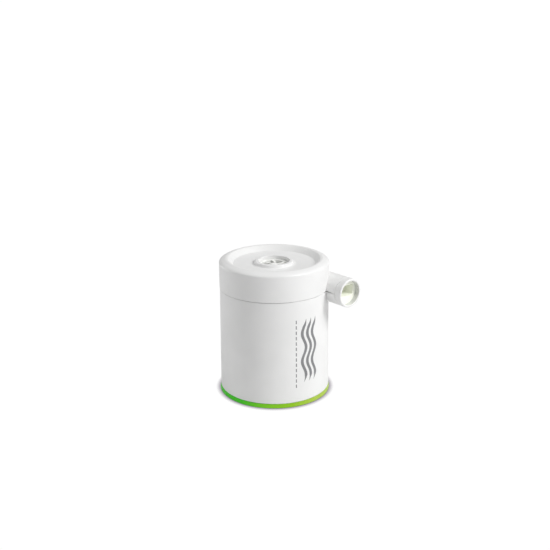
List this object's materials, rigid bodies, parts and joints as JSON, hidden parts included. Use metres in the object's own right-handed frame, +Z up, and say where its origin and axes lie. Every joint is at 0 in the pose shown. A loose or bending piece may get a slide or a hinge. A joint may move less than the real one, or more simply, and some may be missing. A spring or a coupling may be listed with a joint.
{
  "type": "air mattress pump",
  "caption": "Round rechargeable blower for air beds: inlet collar in a dished cap, tangential outlet spigot, coloured base cover.",
  "frame": {"origin": "centre of the rubber base pad's bottom face, which stands on the floor", "axes": "+Z up along the body and the motor shaft, +X along the outlet spigot, out of its mouth; the button and the charging port face -X"},
  "size_m": [0.0938, 0.085, 0.1048],
  "materials": {
    "shell": "satin white ABS",
    "base": "bright green plastic, yellower towards the outlet side",
    "rubber": "matt grey rubber",
    "fan": "satin off-white plastic",
    "frame": "matt black plastic",
    "steel": "bright zinc-plated steel",
    "magnet": "dark ferrite and lacquered laminations",
    "copper": "enamelled copper and sintered bronze",
    "nickel": "nickel plate",
    "cell": null,
    "board": "green solder mask",
    "chip": "black moulding compound",
    "lamp": "clear to milky light-carrying plastic",
    "red_wire": "red wire insulation",
    "black_wire": "black wire insulation"
  },
  "bodies": {
    "housing": {"base_cover": "base", "base_pad": "rubber", "base_screw_1": "steel", "base_screw_2": "steel", "base_screw_3": "steel", "battery_cell_left": "cell", "battery_cell_right": "cell", "battery_cradle": "frame", "battery_link": "nickel", "battery_tab_negative": "nickel", "battery_tab_positive": "nickel", "battery_wire_negative": "black_wire", "battery_wire_positive": "red_wire", "board_inductor": "chip", "board_screw_1": "steel", "board_screw_2": "steel", "cap_screw_1": "steel", "cap_screw_2": "steel", "cap_screw_3": "steel", "cap_screw_4": "steel", "charge_controller": "chip", "charge_lamp_1": "lamp", "charge_lamp_2": "lamp", "charge_lamp_3": "lamp", "charging_socket": "nickel", "control_board": "board", "inlet_guard": "fan", "inlet_seal": "rubber", "light_guide": "lamp", "lower_housing": "shell", "motor_can": "steel", "motor_end_bell": "frame", "motor_front_bush": "copper", "motor_magnet_left": "magnet", "motor_magnet_right": "magnet", "motor_rear_bush": "copper", "motor_screw_1": "steel", "motor_screw_2": "steel", "motor_sleeve": "rubber", "motor_terminal_negative": "nickel", "motor_terminal_positive": "nickel", "motor_wire_negative": "black_wire", "motor_wire_positive": "red_wire", "outlet_spigot": "shell", "switch_body": "chip", "upper_housing": "shell", "volute_base": "fan", "volute_cover": "fan"},
    "rotor": {"impeller": "fan", "impeller_nut": "steel", "motor_shaft": "steel", "armature_core": "magnet", "armature_windings": "copper", "commutator": "copper"},
    "button": {"power_button": "shell", "switch_plunger": "chip"},
    "flap": {"port_flap": "rubber"}
  },
  "joints": [
    {"name": "rotor_spin", "type": "hinge", "parent": "housing", "child": "rotor", "pos_m": [0, 0, 0.082], "axis": [0, 0, 1], "continuous": true},
    {"name": "button_press", "type": "slide", "parent": "housing", "child": "button", "axis": [1, 0, 0], "range_m": [0, 0.0012], "stiffness_N_per_m": 1600},
    {"name": "flap_hinge", "type": "hinge", "parent": "housing", "child": "flap", "pos_m": [-0.0406, 0, 0.0208], "axis": [0, 1, 0], "range_deg": [0, 90]}
  ]
}
